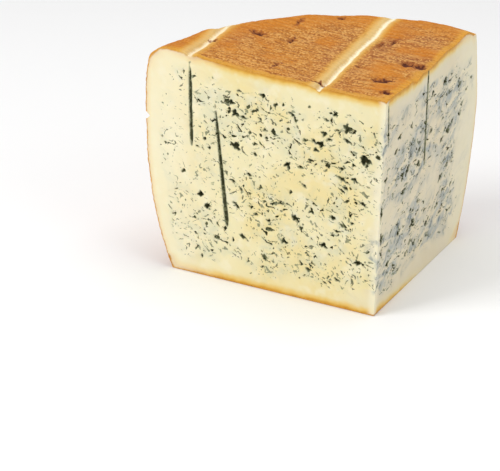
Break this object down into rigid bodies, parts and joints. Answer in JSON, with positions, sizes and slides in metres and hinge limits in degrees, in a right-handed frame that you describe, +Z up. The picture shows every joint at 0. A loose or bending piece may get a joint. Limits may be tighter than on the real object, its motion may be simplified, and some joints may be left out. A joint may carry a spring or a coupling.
{
  "type": "blue cheese wedge",
  "caption": "Quarter of a pierced blue cheese wheel with two plain cut faces, veined paste and a browned rind on its top and curved back, standing on its flat base",
  "frame": {"origin": "middle of the bounding box at the level of the base", "axes": "+Z up; the long cut face looks along -Y, the second cut face looks along +X, and the rind runs round the back, from -X to +Y"},
  "size_m": [0.1494, 0.1482, 0.135],
  "materials": {
    "cheese": "moist cream-yellow paste with grey-green veins, and a dry orange-brown rind"
  },
  "bodies": {
    "root": {"cheese_wedge": "cheese"}
  },
  "joints": []
}
